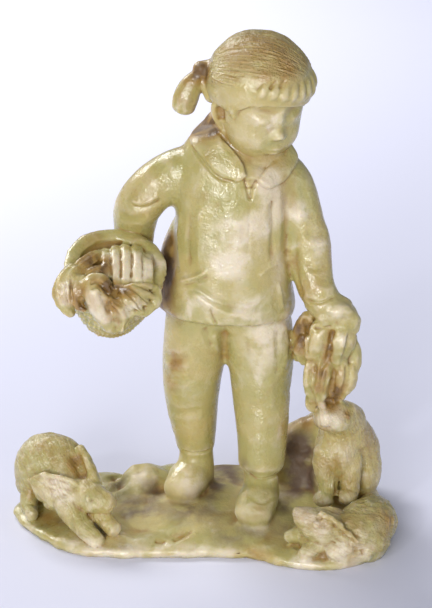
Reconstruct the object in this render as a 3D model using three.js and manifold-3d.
// A soapstone carving of a girl who feeds three rabbits, cut from one block together with its rocky
// base. Millimetres, +Z up, and the girl faces -Y. Places are written in the carver's frame, whose
// Z axis stands under the middle of the jacket, and CENTRE moves them to the part's origin, which is
// the middle of the underside.
import * as THREE from "three";
import { ParametricGeometry } from "three/addons/geometries/ParametricGeometry.js";
import { mergeVertices } from "three/addons/utils/BufferGeometryUtils.js";
import Module from "manifold-3d";

const wasm = await Module();
wasm.setup();

// Driving dimensions
const CENTRE = [-4.9, -6.1]; // the middle of the block's outline, in the carver's frame
const HEAD_AT = [14, -1.5, 150.5]; // the middle of the skull
const HEAD_TURN = 27; // degrees, towards the sitting rabbit
const HEAD_NOD = 20; // degrees, looking down
const HAIR = [17.6, 17.8, 16.2]; // half sizes of the hair, across, from front to back, and up
const WAIST = [19, 16]; // half width and half depth of the jacket
const HEM_Z = 75.5; // height of the jacket's hem
const FOLD_SUNK = 0.8; // how deep a fold's middle lies under the cloth
const SLEEVE = 7.4; // half the thickness of a sleeve at the elbow
const BASKET_AT = [-32.4, -15, 96.2]; // the middle of its rim
const BASKET_RIM = 15.6; // radius
const BASKET_FOOT = 9.6;
const BASKET_DEPTH = 29;
const BASKET_NOD = 28; // degrees, its mouth leaning towards the viewer
const BASKET_LEAN = 7; // degrees, its mouth leaning towards the girl
const EDGE = 3.2; // thickness of the base at its rim
const FLOOR_UNDER = 60; // how far below the floor the cut reaches

// Basics

const at = (x, y, z) => new THREE.Vector3(x, y, z);
const ACROSS_Y = at(0, 1, 0); // the reference for a shape that runs up, down or sideways
const ACROSS_Z = at(0, 0, 1); // the reference for a shape that runs along the ground
const rad = THREE.MathUtils.degToRad;
const smooth = (places) => new THREE.CatmullRomCurve3(places, false, "catmullrom", 0.5);

// A closed geometry as a solid that can be joined and cut: seams and poles are merged, and faces
// with no area go.
function solid(geometry) {
  const bare = geometry.clone();
  bare.deleteAttribute("normal");
  bare.deleteAttribute("uv");
  const merged = mergeVertices(bare, 1e-3);
  const index = merged.index.array;
  const kept = [];
  for (let i = 0; i < index.length; i += 3) {
    const [a, b, c] = index.slice(i, i + 3);
    if (a !== b && b !== c && c !== a) kept.push(a, b, c);
  }
  const mesh = new wasm.Mesh({
    numProp: 3,
    vertProperties: merged.attributes.position.array,
    triVerts: new Uint32Array(kept),
  });
  return new wasm.Manifold(mesh);
}

const join = (solids) => solids.reduce((a, b) => a.add(b));

// A round-ended skin over a spine. frame(t) gives the middle of a section at t from 0 to 1, its two
// half axes, the way on, and how far a round end bulges. The section is a superellipse: square is 2
// for an ellipse, and more for a boxier one. A cap is a ring of a round end.
function skin(frame, rows, sides, square, caps) {
  const stacks = rows + 2 * caps;
  const bow = (x) => Math.sign(x) * Math.abs(x) ** (2 / square);
  const surface = (around, along, target) => {
    const ring = Math.round(along * stacks);
    const inside = THREE.MathUtils.clamp(ring - caps, 0, rows);
    const out = (Math.abs(ring - caps - inside) / caps) * (Math.PI / 2);
    const { middle, side, up, way, end } = frame(inside / rows);
    const angle = around * 2 * Math.PI;
    target.copy(middle)
      .addScaledVector(way, Math.sin(out) * end * (ring < caps ? -1 : 1))
      .addScaledVector(side, Math.cos(out) * bow(Math.cos(angle)))
      .addScaledVector(up, Math.cos(out) * bow(Math.sin(angle)));
  };
  const made = solid(new ParametricGeometry(surface, sides, stacks));
  if (made.volume() > 0) return made;
  const turned = (around, along, target) => surface(1 - around, along, target);
  return solid(new ParametricGeometry(turned, sides, stacks));
}

// A body carried along a smooth path. Each station is [place, half width, half depth]. The half
// width lies along reference x path, and the half depth across both.
function loft(stations, options = {}) {
  const { sides = 8, steps = 1, reference = ACROSS_Y, square = 2, ends = 0.8, caps = 1 } = options;
  const path = smooth(stations.map((s) => s[0]));
  const sizes = smooth(stations.map((s) => at(s[1], s[2] ?? s[1], 0)));
  const frame = (t) => {
    const way = path.getTangent(t);
    const side = reference.clone().cross(way).normalize();
    const up = way.clone().cross(side);
    const size = sizes.getPoint(t);
    side.multiplyScalar(size.x);
    up.multiplyScalar(size.y);
    return { middle: path.getPoint(t), side, up, way, end: ends * Math.min(size.x, size.y) };
  };
  return skin(frame, steps * (stations.length - 1), sides, square, caps);
}

// A limb, stalk or fold: a round body through some places, whose half thickness goes evenly from
// thick to thin.
function limb(places, thick, thin, options = {}) {
  const last = places.length - 1;
  const stations = places.map((place, i) => [place, THREE.MathUtils.lerp(thick, thin, i / last)]);
  return loft(stations, { sides: 6, ...options });
}

// A flat band between two edges: a collar, an ear or a leaf. Each pair holds the two edges' places.
function band(pairs, thickness, { sides = 6, steps = 1, square = 2.6, caps = 1 } = {}) {
  const one = smooth(pairs.map((pair) => pair[0]));
  const other = smooth(pairs.map((pair) => pair[1]));
  const frame = (t) => {
    const middle = one.getPoint(t).lerp(other.getPoint(t), 0.5);
    const side = one.getPoint(t).sub(other.getPoint(t)).multiplyScalar(0.5);
    const way = one.getTangent(t).add(other.getTangent(t)).normalize();
    const up = way.clone().cross(side).normalize().multiplyScalar(thickness);
    return { middle, side, up, way, end: thickness };
  };
  return skin(frame, steps * (pairs.length - 1), sides, square, caps);
}

// An ellipsoid of three half sizes, turned by degrees about X, Y and Z
function egg(middle, half, turn = [0, 0, 0], sides = 7) {
  const geometry = new THREE.SphereGeometry(1, sides, Math.round(sides * 0.6));
  geometry.rotateX(Math.PI / 2);
  geometry.scale(...half);
  geometry.applyMatrix4(new THREE.Matrix4().makeRotationFromEuler(new THREE.Euler(...turn.map(rad))));
  geometry.translate(...middle);
  return solid(geometry);
}

// Moves a solid out of a local frame that stands at a place, turned by degrees about Z, nodded
// forward about its own X and leant sideways about its own Y.
function placed(made, place, turn, nod, lean = 0) {
  const matrix = new THREE.Matrix4()
    .makeTranslation(...place)
    .multiply(new THREE.Matrix4().makeRotationZ(rad(turn)))
    .multiply(new THREE.Matrix4().makeRotationX(rad(nod)))
    .multiply(new THREE.Matrix4().makeRotationY(rad(lean)));
  return made.transform(matrix.elements);
}

// Base: an uneven slab of rock. Its rim is a smooth closed curve through the turns of its outline.

const RIM = [
  [-70, -5], [-62, -18], [-50, -30], [-34, -34.4], [8, -34.6], [22, -40.6], [35.5, -43.4],
  [49, -38.5], [58.5, -25], [60, -10], [55, 10], [44, 24], [26, 30.6], [-8, 30.4], [-34, 25],
  [-56, 17], [-67.5, 7],
].map(([x, y]) => at(x, y, 0));
const MIDDLE = at(-4, -5, 0);
const LIP = 0.965; // where the rounded rim meets the upper side, as a share of the way out
const RIM_SIDES = 32;

// Height of the ground: a low mound under the girl that falls away towards the rim
function ground(x, y) {
  const mound = 5 * Math.exp(-(((x - 4) / 40) ** 2) - ((y - 6) / 30) ** 2);
  const ripple = 0.5 * Math.sin(0.21 * x + 0.6) * Math.cos(0.17 * y);
  return EDGE + 1.1 + mound + ripple;
}

function slab() {
  const rim = new THREE.CatmullRomCurve3(RIM, true, "catmullrom", 0.5);
  const under = 1; // rings of the underside, of the rounded rim and of the upper side
  const wall = 2;
  const top = 3;
  const stacks = under + wall + top;
  const surface = (around, along, target) => {
    const edge = rim.getPoint(1 - around);
    const ring = Math.round(along * stacks);
    const up = (ring - under) / wall;
    const inwards = (ring - under - wall) / top;
    if (ring <= under) {
      target.copy(MIDDLE).lerp(edge, ring * 0.975);
    } else if (up <= 1) {
      target.copy(MIDDLE).lerp(edge, up < 1 ? 1 : LIP);
      target.z = up < 1 ? EDGE * 0.45 : EDGE;
    } else {
      target.copy(MIDDLE).lerp(edge, LIP * (1 - inwards));
      target.z = THREE.MathUtils.lerp(EDGE, ground(target.x, target.y), Math.min(1, inwards * 2.2));
    }
  };
  const made = solid(new ParametricGeometry(surface, RIM_SIDES, stacks));
  if (made.volume() > 0) return made;
  return solid(new ParametricGeometry((a, b, t) => surface(1 - a, b, t), RIM_SIDES, stacks));
}

function rocks() {
  return [
    egg([36.5, 16, 8], [17, 12.5, 21.5], [0, 0, 12], 11), // boulder behind the sitting rabbit
    egg([21, 22, 6], [12, 8, 7], [0, 0, -10]),
    egg([31, 8, 7], [5, 6, 8.5]),
    egg([-24.5, 10, 5.5], [7.6, 9, 8], [0, 10, 15], 8), // rock by the girl's right foot
    egg([-14, 15, 5], [10, 9, 5.8]),
    egg([-38, 14, 4], [10, 7, 4], [0, 0, -15]),
  ];
}

// Girl

function trousers() {
  const right = [
    [at(-4.5, 2, HEM_Z - 1.5), 12, 12.5], [at(-7, 2, 62), 11, 12], [at(-8.2, 2.5, 48), 9.8, 10.6],
    [at(-7.9, 3.5, 36), 8.4, 9.2], [at(-6.8, 4.5, 24), 6.6, 7.4],
  ];
  const left = [
    [at(12.5, 0, HEM_Z - 1.5), 12.6, 12.5], [at(14.6, -1, 62), 11.7, 12], [at(15.2, -3, 48), 9.9, 10.4],
    [at(15.6, -6, 34), 8.8, 9.2], [at(15.4, -8.5, 21.5), 7.6, 8],
  ];
  return [right, left].map((leg) => loft(leg, { sides: 10, ends: 0.15 }));
}

// A round-toed cloth shoe with its sock, standing on the ground
function shoe(ankle, toe, floor) {
  const heel = ankle.clone().lerp(toe, -0.28).setZ(floor + 3);
  const instep = ankle.clone().lerp(toe, 0.42).setZ(floor + 5.2);
  const tip = toe.clone().setZ(floor + 3.4);
  return [
    limb([ankle, ankle.clone().setZ(floor + 5)], 5.6, 6, { sides: 8 }),
    loft([[heel, 4.6, 4.2], [instep, 6.2, 6], [tip, 5.8, 4.4]], { reference: ACROSS_Z, caps: 2 }),
  ];
}

function shoes() {
  return [
    ...shoe(at(-6.8, 4, 23), at(-11.4, -5, 0), 8.2),
    ...shoe(at(15.4, -9.5, 20), at(12.5, -21.4, 0), 7),
  ];
}

// Stations of the jacket's body, from the hem to the neck: place, half width, half depth
const [WIDE, DEEP] = WAIST;
const TORSO = [
  [at(3.6, 0.6, HEM_Z + 1), WIDE + 3, DEEP + 2], [at(3.8, 0.4, 85), WIDE + 1.8, DEEP + 1.2],
  [at(4.8, 0, 96), WIDE, DEEP], [at(5.2, 0, 108), WIDE - 0.4, DEEP - 0.6],
  [at(5.6, 0.4, 119), WIDE + 0.6, DEEP - 1.6], [at(6.4, 1, 127.5), WIDE - 1, DEEP - 3.4],
  [at(8.2, 1, 133), WIDE - 6.5, DEEP - 6], [at(10, 0.4, 139), 8.4, 8.6],
];

// A place just under the jacket's surface: degrees from the middle of its front, towards the left
// arm, and a height
function onJacket(around, height) {
  const above = TORSO.findIndex((station) => station[0].z > height);
  const [low, high] = [TORSO[above - 1], TORSO[above]];
  const share = (height - low[0].z) / (high[0].z - low[0].z);
  const middle = low[0].clone().lerp(high[0], share);
  const half = [1, 2].map((i) => THREE.MathUtils.lerp(low[i], high[i], share) - FOLD_SUNK);
  return middle.add(at(Math.sin(rad(around)) * half[0], -Math.cos(rad(around)) * half[1], 0));
}

function jacket() {
  // The back of the jacket swings out on the basket's side
  const swing = [
    [at(-6, 5, 108), 5, 8], [at(-9.6, 6, 98), 7.4, 9.5], [at(-11, 6, 88), 8, 10.5],
    [at(-11.2, 6, 77.5), 8.4, 10.5],
  ];
  // The slit at the neck, which the front edges leave open
  const slit = limb([at(9.6, -14.6, 129), at(10.8, -17, 118.6)], 2.6, 0.6);
  return [
    loft(TORSO, { sides: 16, square: 2.15, ends: 0.1 }).subtract(slit),
    loft(swing, { ends: 0.15 }),
  ];
}

// Folds of the cloth: slim rolls that lie half sunk in the surface, in each row from end to end
function folds() {
  const rolls = [
    [onJacket(-66, 88), onJacket(-42, 82.6), onJacket(0, 79.6), onJacket(44, 80)],
    [onJacket(56, 116), onJacket(59, 102), onJacket(61, 88)],
    [at(-19.6, -5.4, 115.4), at(-24.6, -5.8, 112), at(-30, -3.4, 111)],
    [at(26.6, -6.4, 94), at(30.4, -8.6, 91), at(34.6, -7.8, 91.4)],
  ];
  return rolls.map((roll) => limb(roll, 2.1, 1.7, { sides: 5, reference: ACROSS_Z }));
}

// Two broad wings that lie on the shoulders and meet at the slit
function collar() {
  const nape = [at(9.6, 9.4, 140.6), at(9.6, 15.4, 133)];
  const right = [
    nape, [at(1, 7.4, 141.4), at(-4, 11.6, 134)], [at(-1.4, 1.4, 140.4), at(-8.8, 1.4, 134.8)],
    [at(1.2, -6, 135), at(-6.4, -6.4, 131.2)], [at(5, -10.4, 131.2), at(-2.2, -11.4, 127)],
    [at(8.2, -13.8, 127), at(1.8, -15, 124.4)],
  ];
  const left = [
    nape, [at(18, 7.4, 140), at(23, 11.4, 132.6)], [at(20.4, 1.4, 137.2), at(25.2, 1.4, 130.6)],
    [at(19.6, -5.8, 133), at(24.2, -6, 127)], [at(16, -10.8, 129.6), at(22, -11.4, 122.8)],
    [at(12.4, -13.8, 125.8), at(18, -14.6, 120.8)],
  ];
  return [right, left].map((wing) => band(wing, 1.3, { square: 3.4 }));
}

function sleeves() {
  const right = [
    [at(-6, 1.5, 123.4), 9, 8.8], [at(-13.5, 0.8, 121.2), 8.8, 8.4], [at(-20, 0, 117.8), 8.1, 8],
    [at(-25.4, -1, 111.8), SLEEVE + 0.4, SLEEVE], [at(-27.2, -1.5, 105), SLEEVE, SLEEVE - 0.2],
    [at(-27.8, -1, 96), SLEEVE - 1, SLEEVE - 1],
  ];
  const left = [
    [at(17, 1, 124.2), 9, 8.8], [at(23.6, 0.4, 118.2), 8.2, 8.2], [at(27, -0.6, 108), 7.1, 7.6],
    [at(28.8, -2, 99.5), SLEEVE - 0.6, SLEEVE], [at(30.4, -4, 92), SLEEVE - 1.4, 6.8],
    [at(32.6, -6.5, 86), 6, 6.4], [at(35.6, -8.8, 80.4), 6, 6.2],
  ];
  return [right, left].map((arm) => loft(arm, { sides: 9, ends: 0.5 }));
}

// Head, in its own frame: it looks along -Y. The face is a calm child's, on plain proportions: the
// eyes half way down, then nose and mouth at even thirds.

// A place on the hair: degrees from the middle of the brow, a height, and how far out
function onHair(around, height, out) {
  const level = Math.sqrt(1 - (height / HAIR[2]) ** 2);
  return at(
    Math.sin(rad(around)) * (HAIR[0] * level + out),
    1.2 - Math.cos(rad(around)) * (HAIR[1] * level + out),
    3.2 + height,
  );
}

function face() {
  const skull = [
    [at(0, -9.4, -17), 5, 4.6], [at(0, -6.6, -13), 10.2, 9.4], [at(0, -3.2, -7), 13.6, 12.6],
    [at(0, -1.2, 0), 14.6, 14.4], [at(0, 0, 8), 14.8, 15.2],
  ];
  const paired = [-1, 1].flatMap((side) => [
    egg([side * 6.4, -9.2, -8.4], [6.4, 5, 5.8]), // cheek
    egg([side * 6, -11.8, -1.4], [3.8, 3, 2.6]), // closed lid
    egg([side * 14.4, 1, -4], [1.9, 3.2, 4.6], [8, 0, 0]), // ear
  ]);
  return [
    loft(skull, { sides: 10, ends: 0.5 }),
    limb([at(0, -13.8, -0.4), at(0, -14.8, -6.2)], 1.6, 2.3), // nose
    egg([0, -13.6, -12.2], [3.4, 2.8, 1.7]), // lips
    egg([0, -11.2, -16.4], [3.8, 3, 2.8]), // chin
    ...paired,
  ];
}

// The hair is combed round the crown to a tie above the right ear, with short curled locks on the brow
function hair() {
  const window = loft(
    [[at(0, -21, -24), 13, 14], [at(0, -19.5, -8), 14.6, 14.6], [at(0, -18, 1.2), 13.4, 9.5]],
    { sides: 10, ends: 0.4 },
  );
  const cap = egg([0, 1.2, 3.2], HAIR, [0, 0, 0], 12).subtract(window);
  const locks = [];
  for (let around = -38; around <= 50; around += 22) {
    const curl = [onHair(around - 6, 8.4, -1.8), onHair(around, 4.4, -1.2), onHair(around + 5, 0.8, -2)];
    locks.push(limb(curl, 3, 2.1, { sides: 5 }));
  }
  return [cap, ...locks];
}

const head = () => [...face(), ...hair()].map((piece) => placed(piece, HEAD_AT, HEAD_TURN, HEAD_NOD));

function pigtail() {
  const lobe = [
    [at(-5.4, 0.4, 155.6), 2.2], [at(-7.8, 0.1, 151.8), 3.6], [at(-9.6, -0.2, 148.2), 4.2],
    [at(-10.2, -0.4, 145.4), 4],
  ];
  return [
    limb([at(-1, 0.8, 156.4), at(-5.4, 0.4, 157)], 4.4, 2.6, { sides: 8 }),
    limb([at(-4.6, 0.4, 154.2), at(-5.2, 0.4, 158.4)], 2, 1.4), // tie
    egg([-3.6, 0.4, 151.6], [3, 3, 4.6]),
    loft(lobe),
  ];
}

// Basket, in its own frame: its mouth looks along +Z, and its rim stands at Z = 0

function bowl() {
  const round = (down) => THREE.MathUtils.lerp(BASKET_RIM - 0.8, BASKET_FOOT, down ** 2.2);
  const wall = [1, 0.75, 0.45, 0].map(
    (down) => new THREE.Vector2(round(down), -1.5 - down * (BASKET_DEPTH - 3.5)));
  const outline = [
    new THREE.Vector2(0, -BASKET_DEPTH),
    new THREE.Vector2(BASKET_FOOT * 0.66, -BASKET_DEPTH + 0.3),
    ...wall,
    new THREE.Vector2(BASKET_RIM, -0.8),
    new THREE.Vector2(BASKET_RIM - 0.9, 0.8),
    new THREE.Vector2(BASKET_RIM - 2.9, 0),
    new THREE.Vector2(BASKET_RIM - 4, -6),
    new THREE.Vector2(0, -8),
  ];
  return solid(new THREE.LatheGeometry(outline, 14).rotateX(Math.PI / 2));
}

function greens() {
  const along = { reference: ACROSS_Z };
  const stalks = [-3.4, -0.1, 3.2, 6.6, 9.8].map((x) =>
    limb([at(x, 9.2, -3.4), at(x, 3, 1.2), at(x, -6.6, 1.6)], 1.6, 1.65, { sides: 5, ...along }));
  const ribs = [0, 1, 2].map((i) => {
    const places = [at(2.4 + 2.8 * i, -4 + 1.6 * i, 2.2), at(6.4 + 2.6 * i, -11 + 3.2 * i, 1)];
    return limb([...places, at(8.8 + 2 * i, -14.8 + 3.2 * i, -5.4)], 2.4, 2.2, { sides: 5, ...along });
  });
  const curled = [
    at(-2.2, -12.6, 2.4), at(-6.2, -9.4, 3.6), at(-9.4, -11.4, 3), at(-8.4, -15.4, 0), at(-5.6, -17.4, -5),
    at(-2.6, -17.6, -8.8),
  ];
  const outer = [
    at(-5, -1, -1), at(-9.8, -0.8, 1), at(-12.8, -4.4, 0.8), at(-14, -8.6, -3.4), at(-13.2, -11.2, -8.8),
  ];
  return [
    egg([0, -2, -6], [12.6, 12.6, 7]), // the heap under the leaves
    ...stalks,
    ...ribs,
    limb(curled, 2.8, 2.8, along),
    egg([2.2, -15.6, -4], [6.4, 4.2, 5.4], [0, 0, 10]),
    limb(outer, 2.4, 3.8, along),
  ];
}

const basket = () =>
  [bowl(), ...greens()].map((piece) => placed(piece, BASKET_AT, 0, BASKET_NOD, BASKET_LEAN));

// Hands

// The right hand lies flat against the back of the basket
const rightHand = () => [
  egg([-28.6, -2, 92], [6, 5.4, 8], [-14, 0, 0]),
  limb([at(-29.6, -1, 88), at(-30, -1.4, 82)], 4.4, 3.4),
];

// The left hand closes on the bunch: its thumb side faces the viewer, and the knuckles the outside
function leftHand() {
  const fingers = [0, 1, 2, 3].map((i) => {
    const knuckle = at(36.4 + 2.6 * i, -12.2 + 0.9 * i, 78.4 - 0.4 * i);
    return limb([knuckle, at(36.4 + 2.5 * i, -13.8 + 1.1 * i, 71.6)], 2.1, 1.8, { sides: 5 });
  });
  return [
    egg([39.4, -9.2, 76.6], [7.4, 5.8, 6.8], [0, 12, 0], 8),
    limb([at(33.4, -11, 81), at(34, -13.4, 75.6), at(34.6, -13.6, 72)], 2.8, 2.2), // thumb
    ...fingers,
  ];
}

// Bunch of greens that hangs from the left hand down to the sitting rabbit's nose
function bunch() {
  const wide = [0.8, 1, 0.55]; // at the stalk, in the middle and at the tip
  const deep = [0.7, 0.8, 0.5];
  const leaf = (places, half) =>
    loft(places.map((place, i) => [place, half * wide[i], half * deep[i]]), { sides: 6 });
  return [
    leaf([at(34, -6, 76), at(29.4, -3.4, 68), at(27.6, -2.6, 61.6)], 5.4), // leaf on the trousers
    leaf([at(35, -9, 73), at(32, -10.6, 60), at(33, -12, 48.4)], 4.6),
    leaf([at(38, -11, 72), at(36.6, -13.4, 60), at(35.6, -13.8, 50)], 4.6),
    leaf([at(41.6, -13, 71), at(39.6, -14.6, 64.6), at(40, -14, 60)], 3),
    leaf([at(44, -12.4, 71), at(44.4, -12.8, 65), at(43.4, -12.2, 61)], 3.2),
    leaf([at(44.6, -8, 72), at(44.8, -8, 62.6), at(43.6, -8.8, 56.6)], 3.9),
    leaf([at(42.2, -10.6, 64), at(42.4, -11.4, 56.6), at(41, -12, 51)], 4.2),
    leaf([at(39.4, -9, 66), at(39, -11.4, 56), at(38, -12.6, 49.6)], 3.8),
    egg([38, -7, 65], [8, 4.6, 11]), // the inner leaves
  ];
}

// Rabbits

// A rabbit's head, from the back of the skull to the nose
const rabbitHead = (back, middle, nose, size) =>
  loft(
    [[back, size * 0.95], [middle, size], [nose, size * 0.68]],
    { sides: 7, reference: ACROSS_Z, caps: 2 },
  );

const leg = (places, thick, thin) => limb(places, thick, thin, { reference: at(0.2, 0.3, 1) });

function leftRabbit() {
  const body = [
    [at(-62, -1, 13), 7.4, 8.4], [at(-60, -3, 21.4), 9.6, 9.8], [at(-53.5, -5, 22.2), 9.4, 9.4],
    [at(-47.5, -11, 17.4), 7.6, 7.6],
  ];
  const nearEar = [
    [at(-45, -19.6, 19), at(-46.6, -21, 13)], [at(-50.6, -18.8, 21.8), at(-52, -20, 11.6)],
    [at(-56, -17, 22.4), at(-57, -18, 11.4)], [at(-61.6, -14.2, 19), at(-61.6, -14.8, 15.4)],
  ];
  const farEar = [
    [at(-42, -17, 18.6), at(-42.6, -13.6, 16.6)], [at(-44.6, -13.4, 24), at(-44.4, -9, 21.6)],
    [at(-48, -9, 28.4), at(-47.4, -6.6, 26.6)],
  ];
  return [
    loft(body, { reference: at(0.5, 1, 0), caps: 2 }),
    egg([-55.4, -12.4, 15.6], [6.8, 5.4, 6.2]), // shoulder, behind the ear
    rabbitHead(at(-45, -18.6, 15.8), at(-40.6, -20.6, 15), at(-36.4, -21.8, 14.2), 6),
    band(nearEar, 1.7),
    band(farEar, 1.5),
    leg([at(-51, -19, 13), at(-47.4, -23.4, 10), at(-43.6, -27, 7.4), at(-40.4, -29.8, 5.6)], 4.8, 2.6),
    leg([at(-41, -19, 11), at(-37.4, -22.8, 8.4), at(-33.8, -26, 6.4)], 3.6, 2.8),
    leg([at(-63.6, -4, 15), at(-65.8, -7.6, 9.6), at(-66, -9, 6.6), at(-65, -13, 5.8)], 4.4, 2.5),
    egg([-62.6, 4, 9], [5, 6, 6.4]), // far haunch, down to the ground
    egg([-66, 5.2, 14.6], [3, 3, 3.2], [0, 0, 0], 5), // tail
  ];
}

function sittingRabbit() {
  const body = [
    [at(46, 2, 11), 10, 9.4], [at(45.4, 1.2, 18), 10.8, 10], [at(44.8, 0, 25.6), 11.2, 9.8],
    [at(43.4, -3.4, 33.6), 8.4, 8], [at(42.4, -5.4, 38.6), 6.6, 6.4],
  ];
  const ears = [0, 4.6].map((back) => band([
    [at(43, -6.4 + back, 45), at(43.6, -3.4 + back, 45.2)],
    [at(46.4, -4.6 + back, 41), at(46.8, 0.4 + back, 41)],
    [at(50.4, -2 + back, 34.4), at(50.2, 1.6 + back, 34.8)],
  ], 1.5));
  const forelegs = [[37.4, 0], [44.6, 0.6]].flatMap(([x, back]) => [
    leg([at(x, -8 + back, 26.5), at(x, -10.4 + back, 17), at(x - 0.6, -11.6 + back, 10)], 4.6, 2.9),
    leg([at(x - 0.6, -11 + back, 9), at(x - 1.4, -14 + back, 7.8)], 2.9, 2.5),
  ]);
  return [
    loft(body, { caps: 2 }),
    egg([41.2, -6.8, 26.4], [6, 5, 7.4]), // chest
    rabbitHead(at(44, -4.6, 40), at(40.4, -8.4, 41.6), at(37.4, -11.8, 43.6), 6),
    ...ears,
    ...forelegs,
    egg([51.6, -1, 17], [5.4, 8, 9.6]), // haunches
    egg([38, 3, 13], [5, 7.4, 8]),
    leg([at(53, -3, 8), at(52, -10.4, 7.2)], 3.4, 2.7), // hind foot
  ];
}

function crouchingRabbit() {
  const body = [
    [at(53.4, -15.6, 8), 6.2, 6.4], [at(51.6, -24, 8.6), 9.2, 8.6], [at(46, -31, 7.8), 9, 8],
    [at(38.6, -33, 8), 6.6, 6.6],
  ];
  const nearEar = [
    [at(34.6, -33.6, 14.8), at(33.6, -36.6, 12)], [at(40, -35.6, 13.4), at(38.6, -38.6, 9.8)],
    [at(45, -36.4, 10.8), at(43.4, -38.8, 7.6)], [at(48.6, -36.6, 7.2), at(48.2, -37.6, 6)],
  ];
  const farEar = [
    [at(31, -30, 15.4), at(31.4, -26.6, 14.6)], [at(37, -29, 15.4), at(37, -24.8, 14)],
    [at(42.6, -27.4, 13.4), at(42.6, -24.6, 12.6)],
  ];
  return [
    loft(body, { reference: ACROSS_Z, caps: 2 }),
    egg([49.6, -33, 6], [8.4, 6.6, 6.8], [0, 0, 20]), // haunch
    rabbitHead(at(36, -33, 9.4), at(31.4, -31.8, 10.8), at(28, -30.6, 12.8), 5.6),
    band(nearEar, 1.6),
    band(farEar, 1.6),
    leg([at(33.4, -32, 8), at(27.8, -31.8, 6.4), at(25, -31.6, 5.8)], 3.8, 2.2),
    leg([at(36, -35, 7), at(31.6, -36.8, 5), at(29, -38, 4.2)], 3.8, 2.4),
    leg([at(48, -37.4, 3.8), at(41.4, -39.8, 3.4)], 3, 2.4), // hind foot
    egg([56, -12.6, 8], [3.2, 3.2, 3.2], [0, 0, 0], 5), // tail
  ];
}

// Everything is one block of stone, so it is one solid, sawn flat underneath
function block() {
  const carved = join([
    slab(), ...rocks(),
    ...trousers(), ...shoes(), ...jacket(), ...folds(), ...collar(), ...sleeves(),
    ...head(), ...pigtail(),
    ...basket(), ...rightHand(), ...leftHand(), ...bunch(),
    ...leftRabbit(), ...sittingRabbit(), ...crouchingRabbit(),
  ]);
  const below = solid(new THREE.BoxGeometry(200, 200, FLOOR_UNDER).translate(0, 0, -FLOOR_UNDER / 2));
  return carved.subtract(below).translate([-CENTRE[0], -CENTRE[1], 0]);
}

function geometryOf(made) {
  const mesh = made.getMesh();
  const places = new Float32Array(mesh.numVert * 3);
  for (let i = 0; i < mesh.numVert; i++) {
    places.set(mesh.vertProperties.subarray(i * mesh.numProp, i * mesh.numProp + 3), i * 3);
  }
  return new THREE.BufferGeometry()
    .setAttribute("position", new THREE.BufferAttribute(places, 3))
    .setIndex(new THREE.BufferAttribute(mesh.triVerts, 1));
}

const soapstone = new THREE.MeshStandardMaterial({ color: 0xc4b777, roughness: 0.35, metalness: 0 });
const figure = new THREE.Mesh(geometryOf(block()), soapstone);
figure.name = "carved_figure";
const part = new THREE.Group();
part.add(figure);

export default part;
